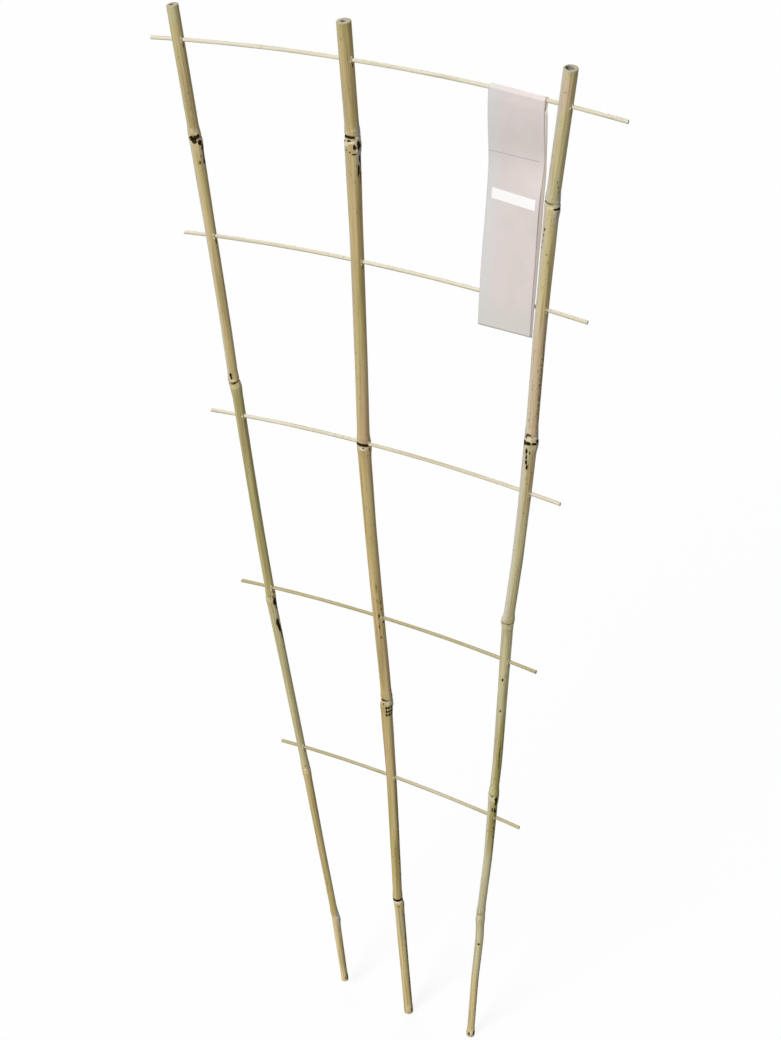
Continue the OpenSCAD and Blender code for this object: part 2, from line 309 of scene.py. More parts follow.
def bow(number):
    """A rung's bow from the frame: its centre as (x, z), its radius, and its two end angles in radians.

    The centre is where its joint turns. The top of its box gives the radius, and the sides of its box give
    the angles, because the outer edge of each end is the box's furthest point.
    """
    joint = next(j for j in frame["joints"] if j["name"] == f"rung_{number}_slide")
    centre = np.array([joint["pos_m"][0], joint["pos_m"][2]]) / MM
    low, high = (np.array(corner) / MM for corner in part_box(f"rung_{number}"))
    radius = high[2] - centre[1] - RUNG_R
    left = math.acos((low[0] - centre[0]) / (radius + RUNG_R))
    right = math.acos((high[0] - centre[0]) / (radius + RUNG_R))
    return centre, radius, left, right


RUNG_NUMBERS = range(1, len(RUNG_LOOKS) + 1)
BOWS = [bow(number) for number in RUNG_NUMBERS]

# A cane's line: the places that a bend is averaged over, where a knuckle's step is made and the length over
# which it dies away, and the spacing at which the line is searched for holes
BEND_EASE = np.linspace(-6, 6, 13)
STEP_SPAN = (-4, 5)
STEP_FADE = 45
LINE_SPACING = 0.1


def cane_line(cane, s):
    """Centre (x, z) and slope, in radians, of a cane at heights s along it.

    The centre runs straight from the foot along the lean, plus a sideways bend that is read off between the
    knuckles and sways and averaged over a few millimetres, so each of them is a short curve. A knuckle may
    also step the cane aside: half the step above it and half below, dying away along the internodes.
    """
    turns = {0: 0, cane.length: 0, **{k.height: k.bend for k in cane.knuckles}, **SWAYS[cane.name]}
    heights = sorted(turns)
    bends = [turns[height] for height in heights]

    def eased(at):
        return np.mean([np.interp(at + ease, heights, bends) for ease in BEND_EASE], axis=0)

    bend = eased(s)
    slope = np.arctan(eased(s + 1) - bend)
    for k in cane.knuckles:
        d = s - k.height
        bend = bend + k.step * (0.5 - smooth(*STEP_SPAN, d)) * np.exp(-np.abs(d) / STEP_FADE)
    lean = math.radians(cane.lean)
    x = cane.foot[0] + s * math.sin(lean) + bend * math.cos(lean)
    z = cane.foot[1] + s * math.cos(lean) - bend * math.sin(lean)
    return x, z, lean + slope


def hole_heights(cane):
    """Heights along a cane where the five rungs cross its centre.

    There the centre's distance from the middle of a rung's bow is the bow's radius.
    """
    s = np.arange(0, cane.length, LINE_SPACING)
    x, z, _ = cane_line(cane, s)
    return [float(np.interp(0, np.hypot(x - c[0], z - c[1]) - r, s)) for c, r, _, _ in BOWS]


# A cane's rings: points round each, spacings, the grid that they fall on, and how far they stay from its ends
CANE_SIDES = 72
RING_PLAIN = 2.0
RING_CLOSE = 0.4
RING_FINE = 0.35
RING_GRID = 0.2
RING_MARGIN = 0.4
# Where they are closer: spaces along a mark, and lengths at the ends, at a knuckle and to each side of a hole
MARK_SPACES = 20
CLOSE_END = 5
FINE_BELOW = 12
FINE_ABOVE = 10
FINE_HOLE = 4.5


def cane_rings(cane, holes):
    """Heights of a cane's rings: evenly spaced, and closer at its ends, knuckles, marks and holes."""
    length = cane.length
    spans = [(0, length, RING_PLAIN), (0, CLOSE_END, RING_CLOSE), (length - CLOSE_END, length, RING_CLOSE)]
    for knuckle in cane.knuckles:
        spans.append((knuckle.height - FINE_BELOW, knuckle.height + FINE_ABOVE, RING_FINE))
        for mark in knuckle.marks:
            middle = knuckle.height + mark.rise
            spacing = max(RING_CLOSE, mark.length / MARK_SPACES)
            spans.append((middle - mark.length, middle + mark.length, spacing))
    spans += [(hole - FINE_HOLE, hole + FINE_HOLE, RING_FINE) for hole in holes]
    s = np.concatenate([np.arange(*span) for span in spans])
    s = np.unique(np.round(s / RING_GRID)) * RING_GRID
    return s[(s >= RING_MARGIN) & (s <= length - RING_MARGIN)]


# Where a mark's cover is whole and where it is gone: shares of its half size, squared
MARK_EDGE = (0.2, 2.2)


def oval(up, turn, wall, mark):
    """Cover of an oval mark: 1 about its middle, falling to 0 past its edge.

    up and turn are the height and the angle from its middle, and wall is the cane's radius there.
    """
    tall = up / (mark.length / 2)
    wide = np.radians(turn) * wall / (mark.width / 2)
    return 1 - smooth(*MARK_EDGE, tall * tall + wide * wide)


# A knuckle's sheath scar: its tilt towards the bud and its wave, the darkness at which its ring starts and is
# full, how patchy a pale one is, how fast it pales, and its width, plain and by its darkness
SCAR_TILT = 0.5
SCAR_WAVE = 0.25
RING_DARK = (0.05, 0.3)
SCAR_PATCHES = 0.6
SCAR_PALING = 0.3
SCAR_WIDTH = 0.45
SCAR_SPREAD = 0.6
# Rises placed from the scar: the lips above and below it and its groove, the flare above, a ring of small
# lumps with their number, and the cream ring's cover
SCAR_SECTION = [Bump(1.1, 0.6, 0.18), Bump(-1.4, 0.7, 0.16), Bump(0, 0.6, -0.5)]
UPPER_FLARE = Bump(3, 3, 0.6)
LUMPS = Bump(-2.6, 1.2, 0.08)
LUMP_COUNT = 11
CREAM_RING = Bump(-3, 2.4, 0.55)
# Rises placed from the knuckle: its belly, its bud, and the cleft and the lumps on the bud, with the angles
# over which they spread, the lumps' number round the cane and their pace along it
BELLY = Bump(-2, 4.5, 1)
BUD = Bump(-2.5, 6, 1)
BUD_SPREAD = 34
CLEFT = Bump(-5, 2.4, -0.6)
CLEFT_SPREAD = 11
BUD_LUMPS = Bump(0, 6, 0.22)
BUD_LUMP_COUNT = 7
BUD_LUMP_PACE = 1.4
# The fuller neck below a bud: its share of the bulge, and how far down it starts, is full, fades and ends
NECK = 0.4
NECK_RISE = (2, 8)
NECK_FADE = (17, 72)
# Grey weather on a bud: its cover, the angle over which it spreads, and the bulges that have none and most
WEATHER = Bump(-2, 15, 1)
WEATHER_SPREAD = 38
WEATHER_BULGES = (0.6, 1.1)


def knuckle_form(k, s, phi, facing):
    """What a knuckle adds to a cane's radius at heights s and angles phi, and the masks that it brings.

    It adds a belly, a groove at the sheath scar between two lips, a flare above, a ring of small lumps, and a
    lumpy bud with a fuller neck below. The masks are the scar, a cream ring under it and the bud's grey.
    """
    off_bud = turn_between(facing, k.bud)
    d = s - k.height + SCAR_TILT * np.cos(np.radians(off_bud)) + SCAR_WAVE * np.sin(2 * phi + k.height)
    line = d - k.scar
    ring = smooth(*RING_DARK, k.dark)
    swelling = rise(BELLY, d) + rise(UPPER_FLARE, line)
    section = sum(rise(part, line) for part in SCAR_SECTION)
    lumps = rise(LUMPS, line) * np.sin(LUMP_COUNT * phi + k.height)
    knobbly = np.sin(BUD_LUMP_COUNT * phi + k.height) * np.sin(BUD_LUMP_PACE * d)
    bud = (rise(BUD, d) + rise(BUD_LUMPS, d) * knobbly) * bell(off_bud, BUD_SPREAD)
    cleft = rise(CLEFT, d) * bell(off_bud, CLEFT_SPREAD)
    below = k.height - s
    neck = NECK * smooth(*NECK_RISE, below) * (1 - smooth(*NECK_FADE, below))
    form = k.swell * swelling + ring * section + lumps + k.bulge * (bud + cleft + neck)
    weathered = smooth(*WEATHER_BULGES, k.bulge) * bell(off_bud, WEATHER_SPREAD)
    patchy = 0.5 + 0.5 * np.sin(3 * phi + k.height) * np.sin(phi + 2 * k.height)
    depth = (k.dark + (1 - k.dark) * SCAR_PATCHES * patchy) * k.dark ** SCAR_PALING * (1 - weathered)
    spread = SCAR_SPREAD * k.dark
    covers = {
        "scar": depth * bell(line + spread, SCAR_WIDTH + spread),
        "cream": ring * rise(CREAM_RING, line),
        "grey": weathered * rise(WEATHER, d),
    }
    return form, covers


# A hole: the depth of its socket, the radii of its floor, rim and soot, and the soot's cover
SOCKET_DEPTH = 1.0
SOCKET_FLOOR = 1.4
SOCKET_RIM = 1.9
HOLE_SOOT_R = 1.5
HOLE_SOOT = 0.75
# What tears where a rung comes out: its place from the hole, round the wall and up, its half sizes, and the
# shares of these where it is whole and gone
Tear = namedtuple("Tear", "around up half_width half_length whole gone")
# A flake of fibre: the radii about the hole where it starts and is full, its height, and its ragged points
FLAKE = Tear(-1.2, 0.4, 1.4, 2.1, 0.5, 1.3)
FLAKE_STARTS = (1.3, 1.7)
FLAKE_HEIGHT = 0.35
FLAKE_RAGGED = 0.35
FLAKE_POINTS = 5
# A slit below the hole, and how dark it is
SLIT = Tear(-0.9, -3.6, 0.45, 1.8, 0.3, 1.5)
SLIT_SOOT = 0.85


def tear_cover(tear, around, up, ragged=0):
    """Cover of a tear: 1 about its middle, falling to 0 at its oval edge, which may be ragged."""
    away = np.hypot((around - tear.around) / tear.half_width, (up - tear.up) / tear.half_length)
    return 1 - smooth(tear.whole, tear.gone, away + ragged)


def hole_form(hole, around, up, torn):
    """What a hole adds to a cane's radius, at places round the wall and up from it, and its masks.

    It is a shallow socket with soot in it. Where torn is 1 and not 0, a flake of fibre stands up at its rim
    and a dark slit runs below it.
    """
    away = np.hypot(around, up)
    ragged = FLAKE_RAGGED * np.sin(FLAKE_POINTS * np.arctan2(up, around) + hole)
    flake = torn * tear_cover(FLAKE, around, up, ragged)
    slit = torn * tear_cover(SLIT, around, up)
    socket = SOCKET_DEPTH * (1 - smooth(SOCKET_FLOOR, SOCKET_RIM, away))
    soot_and_shade = HOLE_SOOT * (1 - smooth(HOLE_SOOT_R, SOCKET_RIM, away))
    form = FLAKE_HEIGHT * flake * smooth(*FLAKE_STARTS, away) - socket
    return form, {"soot_and_shade": np.maximum(soot_and_shade, SLIT_SOOT * slit), "chip": flake}


# A cane's wall: lengths at its foot and top without taper, its foot's flare, and how far it is out of round,
# as an oval and as a rounded triangle, with the lengths over which these turn by a radian
FOOT_STRAIGHT = 50
TOP_STRAIGHT = 15
FOOT_FLARE = Bump(3, 5, 1)
OVAL_DEPTH = 0.06
OVAL_TURN = 90
TRIANGLE_DEPTH = 0.04
TRIANGLE_TURN = 70
# How fully a mark of darkness 1 is covered before it is broken up
DARK_MARK_COVER = 0.9


def cane_radius(cane, s, phi, holes):
    """Radius of a cane over heights s and angles phi, in radians, with masks for its colours.

    The radius is a straight taper, a little out of round, plus what each knuckle and each hole adds. A mask
    takes the strongest cover of the knuckles, marks and holes that bring it.
    """
    facing = turn_between(np.degrees(phi), FACING)
    knots = [0, FOOT_STRAIGHT, cane.length - TOP_STRAIGHT, cane.length]
    plain = np.interp(s, knots, np.array([cane.foot_d, cane.foot_d, cane.top_d, cane.top_d]) / 2)
    radius = plain + cane.flare * rise(FOOT_FLARE, s)
    radius = radius + OVAL_DEPTH * np.cos(2 * phi + s / OVAL_TURN)
    radius = radius + TRIANGLE_DEPTH * np.cos(3 * phi - s / TRIANGLE_TURN + cane.grain_seed)
    masks = {mask: 0 * s * facing for mask in ("scar", "cream", "soot_and_shade", "chip", "grey")}

    def bring(covers):
        for mask, cover in covers.items():
            masks[mask] = np.maximum(masks[mask], cover)

    for k in cane.knuckles:
        form, covers = knuckle_form(k, s, phi, facing)
        radius = radius + form
        bring(covers)
        for mark in k.marks:
            patch = oval(s - k.height - mark.rise, turn_between(facing, mark.angle), plain, mark)
            if mark.dark > 0:
                # Soot, and the painted shade of the long marks down a cane's right side
                bring({"soot_and_shade": DARK_MARK_COVER * mark.dark * patch})
            else:
                bring({"cream": -mark.dark * patch})
    for hole in holes:
        for side, torn in ((0, 1), (180, 0)):
            around = np.radians(turn_between(np.degrees(phi), side)) * plain
            form, covers = hole_form(hole, around, s - hole, torn)
            radius = radius + form
            bring(covers)
    return radius, masks


# Where a tone changes about a knuckle, and how much greener a cane is at its top
TONE_SPAN = (-1, 3)
TOP_GREEN = Bump(0, 5, -0.6)


def cane_tone(cane, s):
    """Tone values along a cane: each internode's own, changing at the knuckles, and greener at the top."""
    values = np.array(cane.tones[0]) + 0 * s[..., None]
    for knuckle, tone in zip(cane.knuckles, cane.tones[1:]):
        share = smooth(*TONE_SPAN, s - knuckle.height)[..., None]
        values = values + share * (np.array(tone) - values)
    return values[..., 0] + rise(TOP_GREEN, s - cane.length), values[..., 1], values[..., 2]


# A cut end, from the outer wall over the rim and down the hollow: share of the way in, and depth
RIM_SHARE = np.array([0.0, 0.03, 0.1, 0.5, 0.9, 0.97, 1, 1, 1, 1, 1])
RIM_DEPTH = np.array([0.3, 0.12, 0.05, 0, 0.05, 0.15, 0.5, 1.5, 4, 10, 25])
# Waves round the saw cut and round the hollow: height, number and start in radians
SAW_WAVES = [(0.12, 1, -0.7), (0.05, 3, 0)]
HOLLOW_WAVES = [(-0.2, 1, 0), (0.08, 2, 1), (0.05, 3, 0)]
# The depth at which a hollow's painted shade is full, and the angle and spread of wax bloom and painted sheen
HOLLOW_SHADE_DEPTH = 1.2
BLOOM_SHEEN_ANGLE = -75
BLOOM_SHEEN_SPREAD = 48


def cane_piece(cane):
    """One cane: stacked rings, each a circle of the cane's radius, square to its line.

    They go from the end of the foot's hollow, round its rim, up the wall and into the top's hollow.
    """
    holes = hole_heights(cane)
    phi = np.radians(np.arange(CANE_SIDES) * 360 / CANE_SIDES)[None, :]
    wall_s = cane_rings(cane, holes)[:, None]
    wall_r, masks = cane_radius(cane, wall_s, phi, holes)
    sawn = sum(height * (1 - np.cos(count * phi + start)) for height, count, start in SAW_WAVES)
    wobble = 1 + sum(height * np.cos(count * phi + start) for height, count, start in HOLLOW_WAVES)

    def end(edge_r, bore, height, inwards):
        share = RIM_SHARE[:, None]
        end_r = edge_r * (1 - share) + bore / 2 * wobble * share
        return end_r, height + inwards * (RIM_DEPTH[:, None] + sawn)

    foot_r, foot_s = end(wall_r[:1], cane.foot_bore, 0, 1)
    top_r, top_s = end(wall_r[-1:], cane.top_bore, cane.length, -1)
    radius = np.concatenate([foot_r[::-1], wall_r, top_r])
    s = np.concatenate([foot_s[::-1], wall_s + 0 * phi, top_s])

    def spread(values, end_values):
        ends = np.repeat(end_values[:, None], CANE_SIDES, axis=1)
        return np.concatenate([ends[::-1], values, ends])

    masks = {mask: spread(values, 0 * RIM_SHARE) for mask, values in masks.items()}
    masks["cut"] = spread(0 * wall_r, (RIM_SHARE > 0) * 1.0)
    # Painted shade in the hollow at each cut end, fuller deeper in
    masks["hollow"] = spread(0 * wall_r, cane.gloom * smooth(0, HOLLOW_SHADE_DEPTH, RIM_DEPTH) * (RIM_SHARE == 1))
    warm, pale, bloom = cane_tone(cane, s)
    facing = turn_between(np.degrees(phi), FACING)
    for stain in cane.stains:
        patch = oval(s - stain.height, turn_between(facing, stain.angle), radius, stain)
        warm = warm + stain.warm * patch
        pale = pale + stain.pale * patch
    masks["warm"] = warm
    masks["pale"] = np.clip(pale, 0, 1)
    # Wax bloom with a painted sheen, on the cane's left side as the viewer faces it
    masks["bloom"] = bloom * bell(turn_between(facing, BLOOM_SHEEN_ANGLE), BLOOM_SHEEN_SPREAD)
    x, z, lean = cane_line(cane, s)
    aside = radius * np.cos(phi)
    depth = radius * np.sin(phi)
    inside_box = np.clip(depth, cad_box[0][1] / MM, cad_box[1][1] / MM)
    rings = np.stack([x + aside * np.cos(lean), inside_box, z - aside * np.sin(lean)], axis=-1)
    grain = np.stack([aside + cane.grain_seed, depth, s], axis=-1)
    return closed_skin(f"bamboo_cane_{cane.name}", rings, masks, grain)


# A rung's rings: points round each, spacings at its ends and between, the ends' length, and the shares of its
# radius that close an end
RUNG_SIDES = 24
RUNG_CLOSE = 0.5
RUNG_PLAIN = 2.5
RUNG_END = 4
RUNG_CAP = [0.3, 0.9]
# Its section, in shares of its radius: how much thinner it is than the solid, its soft flats, as depth and
# number, and its waver, as height and length for a radian
RUNG_SPARE = 0.02
RUNG_FLATS = [(0.07, 3), (0.05, 5)]
RUNG_WAVER = [(0.025, 19), (0.02, 7)]
# How far a slanted end reaches, the spread of the skin side and its painted shade, and how far apart the
# rungs' grains are
SLANT_REACH = 5
SKIN_AND_SHADE_SPREAD = 62
GRAIN_APART = 11


def rung_piece(number):
    """One rung: a split stick with soft flats, carried along its bow from its left end to its right end."""
    centre, radius, left, right = BOWS[number - 1]
    look = RUNG_LOOKS[number - 1]
    length = (left - right) * radius
    run = np.concatenate([
        np.arange(0, RUNG_END, RUNG_CLOSE),
        np.arange(RUNG_END, length - RUNG_END, RUNG_PLAIN),
        np.arange(length - RUNG_END, length, RUNG_CLOSE),
        [length],
    ])
    share = np.concatenate([RUNG_CAP, np.ones(len(run)), RUNG_CAP[::-1]])[:, None]
    run = np.concatenate([[0, 0], run, [length, length]])[:, None]
    psi = np.radians(np.arange(RUNG_SIDES) * 360 / RUNG_SIDES)[None, :]
    flats = 0
    for order, (depth, count) in enumerate(RUNG_FLATS, 1):
        flats = flats + depth * np.abs(np.cos(count / 2 * psi + order * number))
    (sway, sway_length), (ripple, ripple_length) = RUNG_WAVER
    waver = sway * np.sin(run / sway_length + psi + number) + ripple * np.sin(run / ripple_length + 2 * psi)
    thick = RUNG_R * share * (1 - flats + waver - RUNG_SPARE)

    def slanted(slant, turn, nearness):
        return slant * nearness * (1 + np.cos(psi - math.radians(turn)))

    inwards = slanted(look.left_slant, look.left_turn, 1 - smooth(0, SLANT_REACH, run))
    inwards = inwards - slanted(look.right_slant, look.right_turn, smooth(length - SLANT_REACH, length, run))
    angle = left - (run + inwards * share) / radius
    back = thick * np.cos(psi)
    out = thick * np.sin(psi)
    reach = radius + out
    rings = np.stack([centre[0] + reach * np.cos(angle), back, centre[1] + reach * np.sin(angle)], axis=-1)
    grain = np.stack([back + GRAIN_APART * number, out, run + 0 * psi], axis=-1)
    ones = np.ones(rings.shape[:2])
    masks = {
        "pale": ones * look.pale,
        # The skin side, turned mostly to the underside, also lays painted shade under the rung
        "skin": ones * bell(turn_between(np.degrees(psi), look.skin), SKIN_AND_SHADE_SPREAD),
        "cut": ones * (share < 1),
    }
    return closed_skin(f"bamboo_rung_{number}", rings, masks, grain)


# The tag, on the middle of its card: its left and right edges from the middle of its fold, its length below
# the rung's centre, how much longer its left edge is, its thickness, and the depth and height of its fold
TAG_LEFT = -19.2
TAG_RIGHT = 20
TAG_BELOW = 169
TAG_ASKEW = 2.6
TAG_CARD = 0.36
TAG_FOLD_R = 2.3
TAG_FOLD_TOP = 2.1
# Points across it, along the plain length of a leaf, along the leaf's top and over the fold, and where a leaf
# starts below the rung's centre
TAG_ACROSS = 41
LEAF_POINTS = 110
LEAF_TOP_POINTS = 14
FOLD_POINTS = 19
LEAF_START = 0.5
# The length in which the rear leaf closes on the front one, the gap that is left, and how far the front leaf
# settles forwards there
TAG_CLOSING = 8
TAG_GAP = 0.06
TAG_SETTLE = 0.4
# The front leaf's bow: its depth, the length in which it starts, and for its left and right edge how far down
# its middle is and how far it reaches above and below that
TAG_BOW = 5.1
TAG_BOW_START = 12
BOW_LEFT = (58, 30, 52)
BOW_RIGHT = (44, 24, 20)
# Its lean at the foot: the lengths down between which it comes, and how far its left and right edge lean
TAG_LEAN_SPAN = (95, 150)
LEAN_LEFT = 0.3
LEAN_RIGHT = 1.3
# The rear leaf's skew to the right: how far, where it starts, its waves, and its return at the foot
TAG_SKEW = 1.9
SKEW_START = (1, 9)
SKEW_WAVES = [Bump(40, 14, -1), Bump(82, 20, 0.8)]
SKEW_RETURN = 0.7
SKEW_RETURN_FROM = 125


def tag_front(h, w):
    """Depth of the front leaf's middle at a length h below the rung and a place w across.

    The leaf bows back behind the rung's line in a bump, high on the right and lower on the left, and leans
    forwards again at its foot, more on the right.
    """
    side = (w - TAG_LEFT) / (TAG_RIGHT - TAG_LEFT)

    def across(left, right):
        return left * (1 - side) + right * side

    def edge_bow(middle, above, below):
        return bell(h - middle, np.where(h < middle, above, below))

    settle = TAG_FOLD_R + TAG_SETTLE * smooth(0, TAG_CLOSING, h)
    bowed = TAG_BOW * smooth(0, TAG_BOW_START, h) * across(edge_bow(*BOW_LEFT), edge_bow(*BOW_RIGHT))
    return bowed - settle - smooth(*TAG_LEAN_SPAN, h) * across(LEAN_LEFT, LEAN_RIGHT)


def tag_rear(h, w):
    """Depth of the rear leaf's middle: from the back of the fold it closes up to the front leaf."""
    open_share = 1 - smooth(0, TAG_CLOSING, h)
    return tag_front(h, w) + TAG_CARD + TAG_GAP + (2 * TAG_FOLD_R - TAG_CARD) * open_share


def tag_piece():
    """The tag: a strip of card carried up the front leaf, over the fold and down the rear leaf.

    Its section is a thin loop round the card. The rear leaf hangs a little askew, and shows on the right.
    """
    joint = next(j for j in frame["joints"] if j["name"] == "tag_swing")
    top = np.array(joint["pos_m"]) / MM
    across = -np.array(joint["axis"])
    down = np.array([across[2], 0, -across[0]])
    depth = np.array([0, 1, 0])
    w = np.linspace(TAG_LEFT, TAG_RIGHT, TAG_ACROSS)[None, :]
    plain_leaf = np.linspace(TAG_BELOW, TAG_CLOSING, LEAF_POINTS)
    leaf_top = np.linspace(TAG_CLOSING - 1, LEAF_START, LEAF_TOP_POINTS)
    leaf = np.concatenate([plain_leaf, leaf_top])[:, None]
    turn = np.linspace(0, math.pi, FOLD_POINTS)[:, None]
    longer = 1 + TAG_ASKEW / TAG_BELOW * (TAG_RIGHT - w) / (TAG_RIGHT - TAG_LEFT)
    front_h = leaf * longer
    fold_y = -TAG_FOLD_R * np.cos(turn) + 0 * w
    fold_h = -TAG_FOLD_TOP * np.sin(turn) + 0 * w
    rear_h = front_h[::-1]
    rear = leaf[::-1]
    skew = TAG_SKEW * smooth(*SKEW_START, rear) + sum(rise(wave, rear) for wave in SKEW_WAVES)
    skew = skew - SKEW_RETURN * smooth(SKEW_RETURN_FROM, TAG_BELOW, rear)
    y = np.concatenate([tag_front(front_h, w), fold_y, tag_rear(rear_h, w)])
    h = np.concatenate([front_h, fold_h, rear_h])
    beside = np.concatenate([0 * leaf, 0 * turn, skew]) + w
    middle = top + beside[..., None] * across + h[..., None] * down + y[..., None] * depth
    along = np.gradient(middle, axis=0)
    sideways = np.gradient(middle, axis=1)
    normal = np.cross(sideways, along)
    normal = normal / np.linalg.norm(normal, axis=-1, keepdims=True)
    outside = middle + normal * TAG_CARD / 2
    inside = middle - normal * TAG_CARD / 2
    rings = np.concatenate([outside, inside[:, ::-1]], axis=1)
    length = np.cumsum(np.linalg.norm(along, axis=-1).mean(axis=1))
    run = (length - length[len(leaf) + len(turn) // 2])[:, None]
    place = np.stack([w + 0 * run, run + 0 * w, 0 * (w + run)], axis=-1)
    grain = np.concatenate([place, place[:, ::-1]], axis=1)
    face = np.concatenate([np.ones(y.shape), np.zeros(y.shape)], axis=1)
    return closed_skin("card_tag", rings, {"face": face}, grain)


def put(tree, kind, inputs=None, **settings):
    """Adds a shader node, with its settings, and its inputs set to a value or joined to a socket."""
    node = tree.nodes.new("ShaderNode" + kind)
    for name, value in settings.items():
        setattr(node, name, value)
    for name, value in (inputs or {}).items():
        if isinstance(value, bpy.types.NodeSocket):
            tree.links.new(value, node.inputs[name])
        else:
            node.inputs[name].default_value = value
    return node


def mask_of(tree, name):
    """A mask that the mesh carries, as a value."""
    return put(tree, "Attribute", attribute_name=name).outputs["Fac"]


def grain_place(tree):
    """The place that the mesh carries for patterns, in millimetres."""
    return put(tree, "Attribute", attribute_name="grain").outputs["Vector"]


def sums(tree, operation, a, b):
    """One step of arithmetic on two values."""
    return put(tree, "Math", {0: a, 1: b}, operation=operation).outputs[0]


def plus(tree, a, b):
    """Two values added."""
    return sums(tree, "ADD", a, b)


def times(tree, a, b):
    """Two values multiplied."""
    return sums(tree, "MULTIPLY", a, b)


def swing(tree, value, reach=1.0):
    """Noise of 0 to 1 made to swing about 0: its difference from a half, times a reach."""
    return times(tree, sums(tree, "SUBTRACT", value, 0.5), reach)


def band(tree, value, low, high, start=0.0, end=1.0):
    """A value that goes smoothly from start, at low, to end, at high."""
    inputs = {"Value": value, "From Min": low, "From Max": high, "To Min": start, "To Max": end}
    return put(tree, "MapRange", inputs, interpolation_type="SMOOTHSTEP").outputs[0]


def tint(tree, share, low, high):
    """Two colours mixed by a share, on the Mix node's sockets for colours."""
    first, second, mixed = 6, 7, 2
    return put(tree, "Mix", {0: share, first: low, second: high}, data_type="RGBA").outputs[mixed]


def cover(tree, base, shade, value, low, high, most=1.0):
    """A base colour with a shade laid over it: none where a value is at low, and the most of it at high."""
    return tint(tree, band(tree, value, low, high, 0, most), base, shade)


def noise(tree, place, stretch, detail, roughness=0.55):
    """Cloudy noise over a place in millimetres, with a stretch: cycles a millimetre each way."""
    scaled = put(tree, "VectorMath", {0: place, 1: stretch}, operation="MULTIPLY").outputs[0]
    inputs = {"Vector": scaled, "Scale": 1.0, "Detail": detail, "Roughness": roughness}
    return put(tree, "TexNoise", inputs).outputs["Fac"]


def emboss(tree, shader, relief, strength, distance):
    """Joins a relief to a shader as a bump, with a distance in metres."""
    bump = put(tree, "Bump", {"Height": relief, "Strength": strength, "Distance": distance})
    tree.links.new(bump.outputs["Normal"], shader.inputs["Normal"])


def colour(red, green, blue):
    """A screen colour of 0 to 255 a channel, as linear light."""
    channels = np.array([red, green, blue]) / 255
    linear = np.where(channels <= 0.04045, channels / 12.92, ((channels + 0.055) / 1.055) ** 2.4)
    return (*linear.tolist(), 1.0)


def new_material(name):
    """A new material, its node tree and the Principled shader in it."""
    material = bpy.data.materials.new(name)
    material.use_nodes = True
    tree = material.node_tree
    return material, tree, tree.nodes["Principled BSDF"]


def bamboo_grain_group():
    """Bamboo's grain over a place in millimetres, its length along Z.

    It gives fibres, broad zones, specks and their relief.
    """
    group = bpy.data.node_groups.new("bamboo_grain", "ShaderNodeTree")
    group.interface.new_socket("Place", in_out="INPUT", socket_type="NodeSocketVector")
    for name in ("Fibres", "Zones", "Specks", "Relief"):
        group.interface.new_socket(name, in_out="OUTPUT", socket_type="NodeSocketFloat")
    place = group.nodes.new("NodeGroupInput").outputs["Place"]
    broad = noise(group, place, (1.0, 1.0, 0.025), 3.0, 0.6)
    fine = noise(group, place, (3.2, 3.2, 0.05), 3.0, 0.6)
    fibres = plus(group, times(group, broad, 0.6), times(group, fine, 0.4))
    zones = noise(group, place, (0.36, 0.36, 0.014), 2.0, 0.5)
    dots = noise(group, place, (1.3, 1.3, 0.42), 2.0, 0.5)
    where = noise(group, place, (0.12, 0.12, 0.03), 1.0, 0.5)
    specks = band(group, plus(group, dots, times(group, where, 0.25)), 0.80, 0.86)
    relief = plus(group, fibres, times(group, specks, -0.5))
    out = group.nodes.new("NodeGroupOutput")
    for name, value in (("Fibres", fibres), ("Zones", zones), ("Specks", specks), ("Relief", relief)):
        group.links.new(value, out.inputs[name])
    return group


# Colours of a cane's skin: straw, green and pink, each as it grew and washed pale
STRAW = colour(190, 170, 114)
GREEN = colour(167, 159, 93)
PINK = colour(198, 168, 128)
PALE_STRAW = colour(218, 199, 146)
PALE_GREEN = colour(202, 197, 162)
PALE_PINK = colour(216, 194, 162)
# Its stripes, fibres and specks, grey wax with painted sheen and weather, cream rings and the chalky middle
# of pale patches
DARK_STRIPE = colour(146, 126, 82)
LIGHT_STRIPE = colour(212, 199, 150)
DARK_FIBRE = colour(146, 124, 76)
LIGHT_FIBRE = colour(216, 202, 156)
SPECK = colour(84, 66, 40)
WAX_BLOOM_AND_SHEEN = colour(206, 201, 188)
WEATHERED = colour(180, 175, 167)
CREAM = colour(218, 206, 168)
CHALK = colour(236, 228, 204)
TORN_FIBRE = colour(230, 222, 194)
# Soot and painted shade, from the stain round them to their black middle, and the scars
GREEN_STAIN_AND_SHADE = colour(120, 112, 58)
BROWN_STAIN_AND_SHADE = colour(122, 98, 50)
SCORCH_AND_SHADE = colour(50, 35, 16)
SOOT_AND_SHADE_BLACK = colour(22, 16, 10)
SCAR_BROWN = colour(30, 20, 12)
# Cut ends: the sawn wood, its pores, and the painted shade in the hollow near its mouth and deeper in
SAWN_WOOD = colour(192, 182, 158)
SAWN_PORE = colour(138, 124, 98)
HOLLOW_MOUTH_SHADE = colour(150, 148, 144)
HOLLOW_DEEP_SHADE = colour(52, 42, 30)


